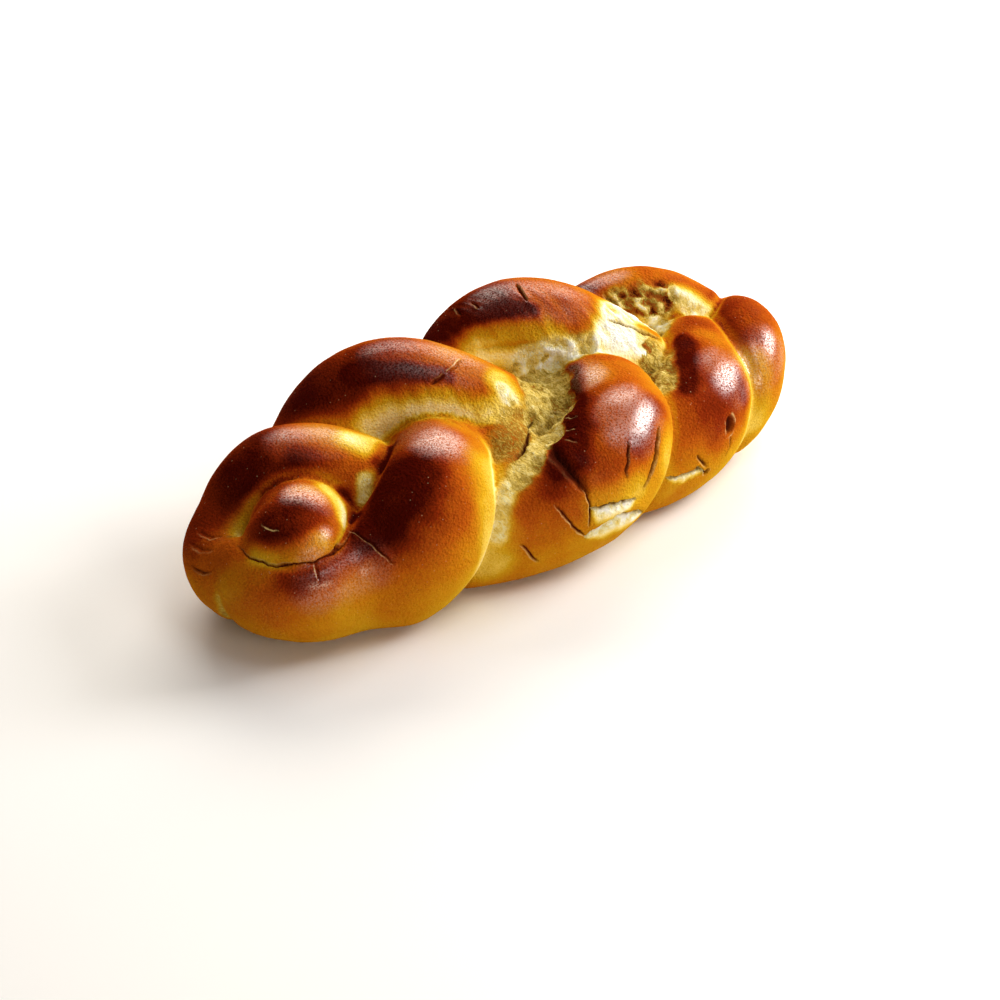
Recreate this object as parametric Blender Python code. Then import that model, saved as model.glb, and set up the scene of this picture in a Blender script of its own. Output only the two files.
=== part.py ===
"""Braided loaf: three strands of dough plaited, risen together and baked.

Metres, +Z up. The loaf lies along X, with its pinched end at -X and its domed
end at +X. The origin is on the underside, in the middle of the loaf's box.

Places along the braid are counted in crossings, u. At each whole number one
strand ends its visible lobe and dives under the next: lobe 0 belongs to strand
0, lobe 1 to strand 1, lobe 2 to strand 2, lobe 3 to strand 0 again, and so on.
Even lobes bulge towards -Y and odd lobes towards +Y.
"""

import math

import bmesh
import bpy
import numpy as np
from mathutils import Matrix, Vector

mm = 0.001

# The braid as a whole
braid_middle = 3.1  # crossings from lobe 0 to the middle of the loaf
near_crossings = 4.8  # crossings from the middle to the pinched end
far_crossings = 5.3  # crossings from the middle to the domed end
crossing_pitch = 35 * mm  # spacing of the crossings at the middle
crossing_crowding = 0.3 * mm  # spacing lost towards the ends, for a crossing cubed
strand_reach = 37 * mm  # how far a strand swings out from the middle line
strand_wave = 9 * mm  # how far it rises and dives
strand_height = 37 * mm  # height of its middle line
strand_radius = 21 * mm
end_radius_share = 0.45  # share of the radius left at the ends of the loaf
end_height_share = 0.74  # share of the height left at the ends of the loaf
base_stretch = 0.66  # a strand's radius over its depth below its middle line

# Where each strand starts and ends, in crossings, and the place before which
# its first lobe runs along the outer edge of the loaf
strand_span = [(-0.72, 7.2), (-1.68, 7.4), (-1.68, 8.3)]
first_edge = [-9.0, -0.5, 0.5]
knob_rounding = 0.6  # crossings over which the first strand's free end swells

# Each lobe's own departure from the rule, in millimetres:
# shift along the loaf, reach sideways, lift of its top, and plumpness
lobe_changes = [
    (-9.5, 5.5, 0, 0),
    (1, -6.5, -4, 4),
    (3.5, -0.5, -4.5, 4),
    (-3, 1.5, 11.5, 0.5),
    (23, 15, -3, 2.5),
    (-1.5, 2, 8.5, 5),
    (17, 2, -10, 3),
    (-0.5, -7.5, 3, -0.5),
    (-3.5, 1, 3.5, -4),
]
# The same for a strand between its lobes: strand, place in crossings, changes
extra_changes = [
    (1, -1.25, (-5.5, -5, -6.5, -4.5)),
    (2, -0.25, (2, -7, -7, -2.5)),
    (0, 0.9, (-2, 1.5, 2, 2)),
]

# The seams
seam_blend = 5 * mm  # rounding where two strands meet
groove_depth = 1.8 * mm  # how much deeper the crease is cut between them
groove_width = 4 * mm
crease_band = 3 * mm  # how near a seam the skin is smoothed along it

# The dough that fills the middle of the braid, and the sole it has spread into:
# the middle of each, its half sizes, and its rounding into the strands
core = {"middle": (-2, -5, 28), "half_size": (112, 28, 27), "blend": 6}
sole = {"middle": (3, -2, 7), "half_size": (130, 37, 15), "blend": 5}
rim_blend = 6 * mm  # rounding of the rim around the flat base

# How finely the surface is made
stations_per_crossing = 16
blank_grid = 2.4 * mm
skin_grid = 1.8 * mm
fitting_steps = 8
longest_step = 4 * mm
evening_rounds = 2
crease_rounds = 5
most_triangles = 9000
flat_band = 0.25 * mm  # what lies this close to the base belongs to it

crust_colour = (0.36, 0.115, 0.022, 1.0)
crust_roughness = 0.34


def clear_scene():
    for obj in list(bpy.data.objects):
        bpy.data.objects.remove(obj)


def swell(u, centre):
    """A smooth hump, 1 at centre and 0 from 1.5 crossings away."""
    near = np.abs(u - centre) < 1.5
    return np.where(near, np.cos(math.pi * (u - centre) / 3) ** 2, 0)


def lobe_sums(strand, u):
    """The strand's departures at u in shift, reach, lift and plumpness."""
    total = np.zeros((4, len(u)))
    for lobe in range(strand, len(lobe_changes), 3):
        total += np.outer(lobe_changes[lobe], swell(u, lobe - 0.75))
    for changed_strand, place, changes in extra_changes:
        if changed_strand == strand:
            total += np.outer(changes, swell(u, place))
    return total * mm


def strand_line(strand, u):
    """Centres and radii of one strand at the places u."""
    from_middle = u - braid_middle
    turn = math.pi * (np.maximum(u, first_edge[strand]) - strand) / 3
    half = np.where(from_middle < 0, near_crossings, far_crossings)
    fullness = np.clip(1 - np.abs(from_middle / half) ** 4, 0, 1) ** (1 / 2.2)
    shift, reach, lift, plump = lobe_sums(strand, u)
    side = -1 if strand == 1 else 1
    x = crossing_pitch * from_middle - crossing_crowding * from_middle**3 + shift
    y = side * (strand_reach + reach) * fullness * np.sin(turn)
    level = end_height_share + (1 - end_height_share) * fullness
    z = (strand_height + lift) * level - strand_wave * fullness * np.sin(2 * turn)
    radius = (strand_radius + plump) * (end_radius_share + (1 - end_radius_share) * fullness)
    if strand == 0:
        rounding = np.clip((u - strand_span[0][0]) / knob_rounding, 0.1, 1)
        radius = radius * np.sqrt(1 - (1 - rounding) ** 2)
    return np.stack([x, y, z], axis=1), radius


def loaf_lines():
    lines = []
    for strand, (start, end) in enumerate(strand_span):
        count = round((end - start) * stations_per_crossing)
        lines.append(strand_line(strand, np.linspace(start, end, count)))
    return lines


def distance_to_line(points, centres, radii):
    """Signed distance to a swept strand, and the direction in which it grows."""
    distance = np.empty(len(points))
    outward = np.empty((len(points), 3))
    for first in range(0, len(points), 4000):
        part = slice(first, first + 4000)
        offset = points[part, None, :] - centres[None]
        stretch = np.where(offset[:, :, 2] < 0, base_stretch, 1.0)
        offset[:, :, 2] *= stretch
        length = np.linalg.norm(offset, axis=2)
        nearest = (length - radii).argmin(axis=1)
        rows = np.arange(len(nearest))
        best = offset[rows, nearest]
        best[:, 2] *= stretch[rows, nearest]
        distance[part] = length[rows, nearest] - radii[nearest]
        outward[part] = best / length[rows, nearest][:, None]
    return distance, outward


def blend(first, second, width):
    """The union of two shapes, rounded over width where they meet."""
    share = np.clip(0.5 + 0.5 * (second[0] - first[0]) / width, 0, 1)
    distance = second[0] + (first[0] - second[0]) * share - width * share * (1 - share)
    outward = second[1] + (first[1] - second[1]) * share[:, None]
    return distance, outward


def braid_surface(points, lines):
    """The three strands grown together, with a crease along each seam."""
    fields = [distance_to_line(points, *line) for line in lines]
    distances = np.stack([field[0] for field in fields])
    directions = np.stack([field[1] for field in fields])
    order = distances.argsort(axis=0)
    rows = np.arange(len(points))
    near, next_near = distances[order[0], rows], distances[order[1], rows]
    gap = next_near - near
    rounding = np.clip(1 - gap / seam_blend, 0, 1)
    crease = groove_depth * np.exp(-((gap / groove_width) ** 2))
    distance = near - seam_blend / 4 * rounding**2 + crease
    turn = rounding / 2 - 2 * gap / groove_width**2 * crease
    outward = directions[order[0], rows]
    outward = outward + turn[:, None] * (directions[order[1], rows] - outward)
    return distance, outward


def distance_to_filling(points, filling):
    """The same for one of the egg-shaped fillings."""
    half_size = np.array(filling["half_size"]) * mm
    scaled = (points - np.array(filling["middle"]) * mm) / half_size
    length = np.linalg.norm(scaled, axis=1)
    thinnest = half_size.min()
    return (length - 1) * thinnest, scaled / half_size / length[:, None] * thinnest


def loaf_surface(points, lines):
    """Signed distance of points from the loaf's surface, and its direction."""
    shape = braid_surface(points, lines)
    for filling in (core, sole):
        shape = blend(shape, distance_to_filling(points, filling), filling["blend"] * mm)
    up = np.zeros((len(points), 3))
    up[:, 2] = 1
    inside = blend((-shape[0], -shape[1]), (points[:, 2], up), rim_blend)
    return -inside[0], -inside[1]


def domed(centres, radii):
    """The line with a few more rings at each end, closing over it as a dome."""
    bend = np.radians((25, 50, 75))
    for end, inner in ((0, 1), (-1, -2)):
        ahead = centres[end] - centres[inner]
        ahead /= np.linalg.norm(ahead)
        rings = centres[end] + np.outer(np.sin(bend), ahead) * radii[end]
        sizes = radii[end] * np.cos(bend)
        if end == 0:
            centres = np.concatenate([rings[::-1], centres])
            radii = np.concatenate([sizes[::-1], radii])
        else:
            centres = np.concatenate([centres, rings])
            radii = np.concatenate([radii, sizes])
    return centres, radii


def tube(bm, centres, radii, sides=20):
    """A closed tube of rings along a line, added to bm."""
    centres, radii = domed(centres, radii)
    heading = np.gradient(centres, axis=0)
    rings = []
    for centre, ahead, radius in zip(centres, heading, radii):
        across = np.cross(ahead, (0, 0, 1))
        across /= np.linalg.norm(across)
        up = np.cross(across, ahead)
        up /= np.linalg.norm(up)
        angles = np.arange(sides) * 2 * math.pi / sides
        ring = np.outer(np.cos(angles), across) + np.outer(np.sin(angles), up)
        rings.append([bm.verts.new(point) for point in centre + radius * ring])
    for ring, following in zip(rings, rings[1:]):
        for i in range(sides):
            j = (i + 1) % sides
            bm.faces.new((ring[i], ring[j], following[j], following[i]))
    bm.faces.new(reversed(rings[0]))
    bm.faces.new(rings[-1])


def applied(mesh, name, modifier_type, **settings):
    """A new mesh: the given one after one modifier."""
    helper = bpy.data.objects.new(name, mesh)
    bpy.context.scene.collection.objects.link(helper)
    modifier = helper.modifiers.new(name, modifier_type)
    for setting, value in settings.items():
        setattr(modifier, setting, value)
    graph = bpy.context.evaluated_depsgraph_get()
    result = bpy.data.meshes.new_from_object(helper.evaluated_get(graph))
    bpy.data.objects.remove(helper)
    return result


def rough_blank(lines):
    """The strands and fillings grown into one closed skin of even squares."""
    bm = bmesh.new()
    for centres, radii in lines:
        tube(bm, centres, radii)
    for filling in (core, sole):
        egg = Matrix.LocRotScale(
            Vector(filling["middle"]) * mm, None, Vector(filling["half_size"]) * mm
        )
        bmesh.ops.create_uvsphere(bm, u_segments=32, v_segments=16, radius=1, matrix=egg)
    bmesh.ops.recalc_face_normals(bm, faces=bm.faces)
    mesh = bpy.data.meshes.new("blank")
    bm.to_mesh(mesh)
    bm.free()
    return applied(mesh, "blank", "REMESH", mode="VOXEL", voxel_size=blank_grid)


def coordinates(mesh):
    flat = np.empty(len(mesh.vertices) * 3, np.float32)
    mesh.vertices.foreach_get("co", flat)
    return flat.reshape(-1, 3).astype(np.float64)


def set_coordinates(mesh, points):
    mesh.vertices.foreach_set("co", points.astype(np.float32).ravel())
    mesh.update()


def fit_to_surface(mesh, lines, steps):
    points = coordinates(mesh)
    for _ in range(steps):
        distance, outward = loaf_surface(points, lines)
        steepness = np.maximum((outward**2).sum(axis=1), 0.2)
        step = np.clip(distance / steepness, -longest_step, longest_step)
        points -= 0.8 * step[:, None] * outward
    set_coordinates(mesh, points)


def even_out(mesh, chosen, rounds):
    """Smooths the chosen vertices towards their neighbours."""
    bm = bmesh.new()
    bm.from_mesh(mesh)
    verts = [vert for vert, keep in zip(bm.verts, chosen) if keep]
    for _ in range(rounds):
        bmesh.ops.smooth_vert(
            bm, verts=verts, factor=0.5, use_axis_x=True, use_axis_y=True, use_axis_z=True
        )
    bm.to_mesh(mesh)
    bm.free()


def in_crease(mesh, lines):
    """Which vertices lie along a seam, about as near to one strand as the next."""
    points = coordinates(mesh)
    distances = np.sort([distance_to_line(points, *line)[0] for line in lines], axis=0)
    return distances[1] - distances[0] < crease_band


def finish_base(mesh):
    """Centres the loaf over its origin and sets its underside exactly flat."""
    points = coordinates(mesh)
    middle = (points[:, :2].min(axis=0) + points[:, :2].max(axis=0)) / 2
    points[:, :2] -= middle
    points[:, 2][points[:, 2] < flat_band] = 0
    set_coordinates(mesh, points)


def crust_material():
    material = bpy.data.materials.new("baked_crust")
    material.use_nodes = True
    shader = material.node_tree.nodes["Principled BSDF"]
    shader.inputs["Base Color"].default_value = crust_colour
    shader.inputs["Roughness"].default_value = crust_roughness
    shader.inputs["Metallic"].default_value = 0
    return material


def braided_loaf():
    lines = loaf_lines()
    blank = rough_blank(lines)
    fit_to_surface(blank, lines, fitting_steps)
    skin = applied(blank, "skin", "REMESH", mode="VOXEL", voxel_size=skin_grid)
    even_out(skin, np.full(len(skin.vertices), True), evening_rounds)
    fit_to_surface(skin, lines, fitting_steps // 2)
    even_out(skin, in_crease(skin, lines), crease_rounds)
    triangles = sum(len(face.vertices) - 2 for face in skin.polygons)
    mesh = applied(skin, "braided_loaf", "DECIMATE", ratio=most_triangles / triangles)
    finish_base(mesh)
    bm = bmesh.new()
    bm.from_mesh(mesh)
    bmesh.ops.dissolve_degenerate(bm, edges=bm.edges, dist=0.02 * mm)
    bmesh.ops.triangulate(bm, faces=bm.faces)
    bmesh.ops.recalc_face_normals(bm, faces=bm.faces)
    bm.to_mesh(mesh)
    bm.free()
    mesh.name = "braided_loaf"
    mesh.shade_smooth()
    mesh.materials.clear()
    mesh.materials.append(crust_material())
    loaf = bpy.data.objects.new("braided_loaf", mesh)
    bpy.context.scene.collection.objects.link(loaf)
    return loaf


clear_scene()
braided_loaf()
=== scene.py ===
import math

import bmesh
import bpy
import numpy as np
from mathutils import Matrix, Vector, noise


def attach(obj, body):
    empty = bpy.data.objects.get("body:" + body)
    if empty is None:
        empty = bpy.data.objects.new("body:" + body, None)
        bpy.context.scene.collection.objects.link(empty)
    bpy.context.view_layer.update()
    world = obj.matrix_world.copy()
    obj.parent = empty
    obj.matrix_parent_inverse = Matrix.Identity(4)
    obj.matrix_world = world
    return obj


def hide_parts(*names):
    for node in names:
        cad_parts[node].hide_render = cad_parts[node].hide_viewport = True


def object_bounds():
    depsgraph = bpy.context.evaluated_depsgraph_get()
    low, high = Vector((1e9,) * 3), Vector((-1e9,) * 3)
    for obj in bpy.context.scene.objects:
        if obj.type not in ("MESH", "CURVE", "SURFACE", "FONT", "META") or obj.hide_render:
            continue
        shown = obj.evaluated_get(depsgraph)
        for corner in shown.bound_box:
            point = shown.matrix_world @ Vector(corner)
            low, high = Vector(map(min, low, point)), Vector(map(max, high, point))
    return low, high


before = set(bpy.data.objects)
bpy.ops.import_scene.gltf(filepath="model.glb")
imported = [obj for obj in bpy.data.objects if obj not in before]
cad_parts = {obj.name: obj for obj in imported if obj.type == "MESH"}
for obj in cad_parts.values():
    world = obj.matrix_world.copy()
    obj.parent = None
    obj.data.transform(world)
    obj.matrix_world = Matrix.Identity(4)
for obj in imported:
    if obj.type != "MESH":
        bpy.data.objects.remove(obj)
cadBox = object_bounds()
mm = 0.001

# The braid, as the solid has it: u counts the crossings along it, and lobe j
# belongs to strand j % 3. Lengths are in millimetres.
braid = {
    "middle": 3.1,
    "nearCrossings": 4.8,
    "farCrossings": 5.3,
    "pitch": 35,
    "crowding": 0.3,
    "reach": 37,
    "wave": 9,
    "height": 37,
    "radius": 21,
    "endRadiusShare": 0.45,
    "endHeightShare": 0.74,
    "baseStretch": 0.66,
    "spans": [(-0.72, 7.2), (-1.68, 7.4), (-1.68, 8.3)],
    "firstEdge": [-9.0, -0.5, 0.5],
    "knobRounding": 0.6,
    # each lobe's shift along the loaf, reach sideways, lift and plumpness
    "lobes": [
        (-9.5, 5.5, 0, 0),
        (1, -6.5, -4, 4),
        (3.5, -0.5, -4.5, 4),
        (-3, 1.5, 11.5, 0.5),
        (23, 15, -3, 2.5),
        (-1.5, 2, 8.5, 5),
        (17, 2, -10, 3),
        (-0.5, -7.5, 3, -0.5),
        (-3.5, 1, 3.5, -4),
    ],
    # the same between lobes: strand, place, changes
    "extras": [
        (1, -1.25, (-5.5, -5, -6.5, -4.5)),
        (2, -0.25, (2, -7, -7, -2.5)),
        (0, 0.9, (-2, 1.5, 2, 2)),
    ],
    "seamBlend": 2.4,
    "grooveDepth": 1.8,
    "grooveWidth": 2.2,
    "fillings": [
        {"middle": (-2, -5, 28), "halfSize": (112, 28, 27), "blend": 6},
        {"middle": (3, -2, 7), "halfSize": (130, 37, 15), "blend": 5},
        {"middle": (-18, -21, 46.5), "halfSize": (14, 14, 10.5), "blend": 2.5},
        {"middle": (-134, -5, 27), "halfSize": (13, 22, 17), "blend": 5},
        {"middle": (-119, -11, 42), "halfSize": (19, 17, 16.5), "blend": 2},
    ],
    "rimBlend": 6,
    "stations": 14,
    "lobeSpacing": 3,  # crossings from one lobe of a strand to its next
    "crestLag": 0.75,
    "taperPower": 4,
    "taperRoundness": 2.2,
}


def swell(u, centre):
    spacing = braid["lobeSpacing"]
    near = np.abs(u - centre) < spacing / 2
    return np.where(near, np.cos(math.pi * (u - centre) / spacing) ** 2, 0)


def strandLine(strand, u):
    total = np.zeros((4, len(u)))
    for lobe in range(strand, len(braid["lobes"]), braid["lobeSpacing"]):
        total += np.outer(braid["lobes"][lobe], swell(u, lobe - braid["crestLag"]))
    for changed, place, changes in braid["extras"]:
        if changed == strand:
            total += np.outer(changes, swell(u, place))
    shift, reach, lift, plump = total
    fromMiddle = u - braid["middle"]
    turn = math.pi * (np.maximum(u, braid["firstEdge"][strand]) - strand) / braid["lobeSpacing"]
    half = np.where(fromMiddle < 0, braid["nearCrossings"], braid["farCrossings"])
    fullness = np.clip(1 - np.abs(fromMiddle / half) ** braid["taperPower"], 0, 1)
    fullness = fullness ** (1 / braid["taperRoundness"])
    side = -1 if strand == 1 else 1
    heightShare = braid["endHeightShare"] + (1 - braid["endHeightShare"]) * fullness
    radiusShare = braid["endRadiusShare"] + (1 - braid["endRadiusShare"]) * fullness
    x = braid["pitch"] * fromMiddle - braid["crowding"] * fromMiddle**3 + shift
    y = side * (braid["reach"] + reach) * fullness * np.sin(turn)
    z = (braid["height"] + lift) * heightShare - braid["wave"] * fullness * np.sin(2 * turn)
    radius = (braid["radius"] + plump) * radiusShare
    if strand == 0:
        rounding = np.clip((u - braid["spans"][0][0]) / braid["knobRounding"], 0.1, 1)
        radius = radius * np.sqrt(1 - (1 - rounding) ** 2)
    return {"centres": np.stack([x, y, z], axis=1) * mm, "radii": radius * mm}


def strandLines():
    lines = []
    for strand, (start, end) in enumerate(braid["spans"]):
        count = round((end - start) * braid["stations"])
        lines.append(strandLine(strand, np.linspace(start, end, count)))
    lows = [(line["centres"] - line["radii"][:, None]).min(axis=0) for line in lines]
    highs = [(line["centres"] + line["radii"][:, None]).max(axis=0) for line in lines]
    return lines, (np.min(lows, axis=0) + np.max(highs, axis=0)) / 2 * (1, 1, 0)


lines, lineMiddle = strandLines()
boxMiddle = (np.array(cadBox[0]) + np.array(cadBox[1])) / 2 * (1, 1, 0)
offCentre = boxMiddle - lineMiddle  # moves the braid's own frame over the loaf's
for line in lines:
    line["centres"] = line["centres"] + offCentre

batch = 3000  # points measured at a time


def inFrame(points):
    return np.array(points, float) * mm


def bell(values, middle, width):
    return np.exp(-(((values - middle) / width) ** 2))


def between(values, index, step):
    # quadratic through three neighbouring stations
    before, at, after = values[index - 1], values[index], values[index + 1]
    if values.ndim > 1:
        step = step[:, None]
    return at + step * (after - before) / 2 + step**2 / 2 * (before - 2 * at + after)


def distanceToStrand(points, line):
    # how far each point is from the strand's skin, and the way out of it
    centres, radii = line["centres"], line["radii"]
    squash = braid["baseStretch"]
    distance = np.empty(len(points))
    outward = np.empty((len(points), 3))
    for first in range(0, len(points), batch):
        part = slice(first, first + batch)
        near = points[part]
        drop = near[:, None, 2] - centres[None, :, 2]
        drop = np.where(drop < 0, drop * squash, drop)
        flat = (near[:, None, 0] - centres[None, :, 0]) ** 2
        flat = flat + (near[:, None, 1] - centres[None, :, 1]) ** 2
        reach = np.sqrt(flat + drop**2) - radii
        index = np.clip(reach.argmin(axis=1), 1, len(radii) - 2)
        rows = np.arange(len(index))
        before, at, after = (reach[rows, index + k] for k in (-1, 0, 1))
        bend = np.maximum(2 * (before - 2 * at + after), 1e-9)
        step = np.clip((before - after) / bend, -1, 1)
        offset = near - between(centres, index, step)
        stretch = np.where(offset[:, 2] < 0, squash, 1.0)
        offset[:, 2] *= stretch
        length = np.linalg.norm(offset, axis=1)
        distance[part] = length - between(radii, index, step)
        offset[:, 2] *= stretch
        outward[part] = offset / length[:, None]
    return distance, outward


def blend(first, second, width):
    share = np.clip(0.5 + 0.5 * (second[0] - first[0]) / width, 0, 1)
    distance = second[0] + (first[0] - second[0]) * share - width * share * (1 - share)
    return distance, second[1] + (first[1] - second[1]) * share[:, None]


def distanceToFilling(points, filling):
    halfSize = inFrame(filling["halfSize"])
    scaled = (points - offCentre - inFrame(filling["middle"])) / halfSize
    length = np.linalg.norm(scaled, axis=1)
    thinnest = halfSize.min()
    return (length - 1) * thinnest, scaled / halfSize / length[:, None] * thinnest


def strandFields(points):
    # distance and way out for the nearest strand and for the next, and which is nearest
    fields = [distanceToStrand(points, line) for line in lines]
    distances = np.stack([field[0] for field in fields])
    directions = np.stack([field[1] for field in fields])
    order = distances.argsort(axis=0)
    rows = np.arange(len(points))
    nearest, second = ((distances[order[k], rows], directions[order[k], rows]) for k in (0, 1))
    return nearest, second, order[0]


def loafSurface(points):
    # how far each point is above the loaf's surface, and the way out of it
    nearest, second, _ = strandFields(points)
    gap = second[0] - nearest[0]
    seamBlend, grooveWidth = braid["seamBlend"] * mm, braid["grooveWidth"] * mm
    rounding = np.clip(1 - gap / seamBlend, 0, 1)
    crease = braid["grooveDepth"] * mm * bell(gap, 0, grooveWidth)
    turn = rounding / 2 - 2 * gap / grooveWidth**2 * crease
    outward = nearest[1] + turn[:, None] * (second[1] - nearest[1])
    shape = nearest[0] - seamBlend / 4 * rounding**2 + crease, outward
    for filling in braid["fillings"]:
        shape = blend(shape, distanceToFilling(points, filling), filling["blend"] * mm)
    up = np.tile((0.0, 0.0, 1.0), (len(points), 1))
    inside = blend((-shape[0], -shape[1]), (points[:, 2], up), braid["rimBlend"] * mm)
    return -inside[0], -inside[1]


def seams(points):
    # the nearest strand, and how much nearer it is than the next
    nearest, second, strand = strandFields(points)
    return {"gap": second[0] - nearest[0], "strand": strand}


# the skin is an even mesh laid on that surface
skin = {
    "weld": 0.005 * mm,
    "grid": 1.6 * mm,
    "roughRounds": 2,
    "rounds": 4,
    "slide": 0.6,  # how far a point moves towards the middle of its neighbours
    "corrections": 2,
    "approach": 0.85,
    "leastSteepness": 0.2,
    "longestStep": 3 * mm,
    "combing": 5,
    "creaseWidth": 1.4 * mm,
    "creaseSmoothing": 0.6,
    "strayStep": 0.4 * mm,
    "strayFrom": 0.7,
}


def coordinates(mesh):
    flat = np.empty(len(mesh.vertices) * 3, np.float32)
    mesh.vertices.foreach_get("co", flat)
    return flat.reshape(-1, 3).astype(np.float64)


def setCoordinates(mesh, points):
    mesh.vertices.foreach_set("co", points.astype(np.float32).ravel())
    mesh.update()


def vertexNormals(mesh):
    flat = np.empty(len(mesh.vertices) * 3, np.float32)
    mesh.vertex_normals.foreach_get("vector", flat)
    return flat.reshape(-1, 3).astype(np.float64)


def edgeEnds(mesh):
    ends = np.empty(len(mesh.edges) * 2, np.int32)
    mesh.edges.foreach_get("vertices", ends)
    return ends.reshape(-1, 2)


def neighbourMean(values, ends):
    first, second = ends.T
    size = len(values)
    count = np.bincount(ends.ravel(), minlength=size).astype(float)
    totals = [
        np.bincount(first, values[second, k], size) + np.bincount(second, values[first, k], size)
        for k in range(values.shape[1])
    ]
    return np.stack(totals, axis=1) / count[:, None]


def settle(mesh, rounds):
    # spreads the points evenly along the surface, and brings each back onto it
    ends = edgeEnds(mesh)
    points = coordinates(mesh)
    for _ in range(rounds):
        setCoordinates(mesh, points)
        normals = vertexNormals(mesh)
        slide = neighbourMean(points, ends) - points
        slide -= (slide * normals).sum(axis=1)[:, None] * normals
        points += skin["slide"] * slide
        for _ in range(skin["corrections"]):
            distance, outward = loafSurface(points)
            steepness = np.maximum((outward**2).sum(axis=1), skin["leastSteepness"])
            step = np.clip(distance / steepness, -skin["longestStep"], skin["longestStep"])
            points -= skin["approach"] * step[:, None] * outward
    setCoordinates(mesh, points)


def comb(mesh, rounds):
    # smooths the creases, and draws in any point that sticks out of its neighbours
    ends = edgeEnds(mesh)
    points = coordinates(mesh)
    gap = seams(points)["gap"]
    inCrease = skin["creaseSmoothing"] * bell(gap, 0, skin["creaseWidth"])
    for _ in range(rounds):
        slide = neighbourMean(points, ends) - points
        stray = np.linalg.norm(slide, axis=1) / skin["strayStep"] - skin["strayFrom"]
        points += np.maximum(inCrease, np.clip(stray, 0, 1))[:, None] * slide
    setCoordinates(mesh, points)


def remeshed(mesh, grid):
    helper = bpy.data.objects.new("helper", mesh)
    bpy.context.scene.collection.objects.link(helper)
    modifier = helper.modifiers.new("grid", "REMESH")
    modifier.mode = "VOXEL"
    modifier.voxel_size = grid
    graph = bpy.context.evaluated_depsgraph_get()
    result = bpy.data.meshes.new_from_object(helper.evaluated_get(graph))
    bpy.data.objects.remove(helper)
    return result


def makeSkin():
    bm = bmesh.new()
    bm.from_mesh(bpy.data.objects["braided_loaf"].data)
    bmesh.ops.remove_doubles(bm, verts=bm.verts, dist=skin["weld"])
    blank = bpy.data.meshes.new("blank")
    bm.to_mesh(blank)
    bm.free()
    rough = remeshed(blank, skin["grid"])
    settle(rough, skin["roughRounds"])
    mesh = remeshed(rough, skin["grid"])
    settle(mesh, skin["rounds"])
    comb(mesh, skin["combing"])
    return mesh


def rowsOf(columns, rows):
    # a dictionary for each row; a row may leave out the last columns
    return [dict(zip(columns.split(), row)) for row in rows]


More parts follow.
